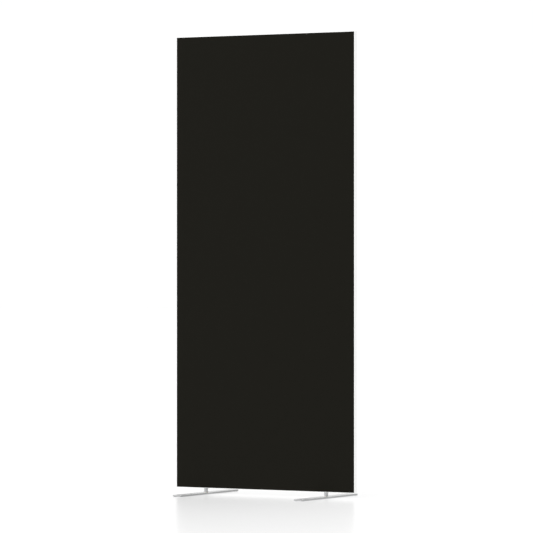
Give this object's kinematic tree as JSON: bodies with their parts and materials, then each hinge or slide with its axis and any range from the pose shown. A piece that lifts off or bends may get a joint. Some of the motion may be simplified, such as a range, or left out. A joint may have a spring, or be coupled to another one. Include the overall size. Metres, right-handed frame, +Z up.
{
  "type": "office floor screen",
  "caption": "Tall free-standing floor screen: textile stretched over both faces of a slim metal frame, on flat swivelling bar feet.",
  "frame": {"origin": "on the floor, midway between the two feet, in the panel's middle plane", "axes": "+X along the panel to its right seen from the front, +Y from the front face to the back face, +Z up"},
  "size_m": [0.9, 0.495, 2.0258],
  "materials": {
    "frame": "white powder coat",
    "foot": "silver grey powder coat",
    "fabric": "knitted display textile",
    "silicone": "translucent white silicone",
    "pad_rubber": "matt black rubber",
    "nylon": "natural nylon",
    "cast_zinc": "as cast",
    "zinc_plated_steel": "bright zinc plating",
    "mill_aluminium": "plain extruded"
  },
  "bodies": {
    "frame": {"top_profile": "frame", "bottom_profile": "frame", "left_profile": "frame", "right_profile": "frame", "corner_bracket_top_left": "cast_zinc", "corner_bracket_top_right": "cast_zinc", "corner_bracket_bottom_left": "cast_zinc", "corner_bracket_bottom_right": "cast_zinc", "corner_set_screws": "zinc_plated_steel", "crossbar": "mill_aluminium", "crossbar_bracket_left": "zinc_plated_steel", "crossbar_bracket_right": "zinc_plated_steel", "crossbar_screws": "zinc_plated_steel", "front_fabric": "fabric", "back_fabric": "fabric", "front_strip_top": "silicone", "front_strip_bottom": "silicone", "front_strip_left": "silicone", "front_strip_right": "silicone", "back_strip_top": "silicone", "back_strip_bottom": "silicone", "back_strip_left": "silicone", "back_strip_right": "silicone", "left_foot_screw": "zinc_plated_steel", "left_foot_washer": "nylon", "left_post": "foot", "left_stud": "zinc_plated_steel", "left_slide_nut": "zinc_plated_steel", "right_foot_screw": "zinc_plated_steel", "right_foot_washer": "nylon", "right_post": "foot", "right_stud": "zinc_plated_steel", "right_slide_nut": "zinc_plated_steel"},
    "left_foot": {"left_foot_plate": "foot", "left_foot_pads": "pad_rubber"},
    "right_foot": {"right_foot_plate": "foot", "right_foot_pads": "pad_rubber"}
  },
  "joints": [
    {"name": "left_foot_swivel", "type": "hinge", "parent": "frame", "child": "left_foot", "pos_m": [-0.304, 0, 0.007], "axis": [0, 0, 1], "range_deg": [-90, 90]},
    {"name": "right_foot_swivel", "type": "hinge", "parent": "frame", "child": "right_foot", "pos_m": [0.304, 0, 0.007], "axis": [0, 0, 1], "range_deg": [-90, 90]}
  ]
}
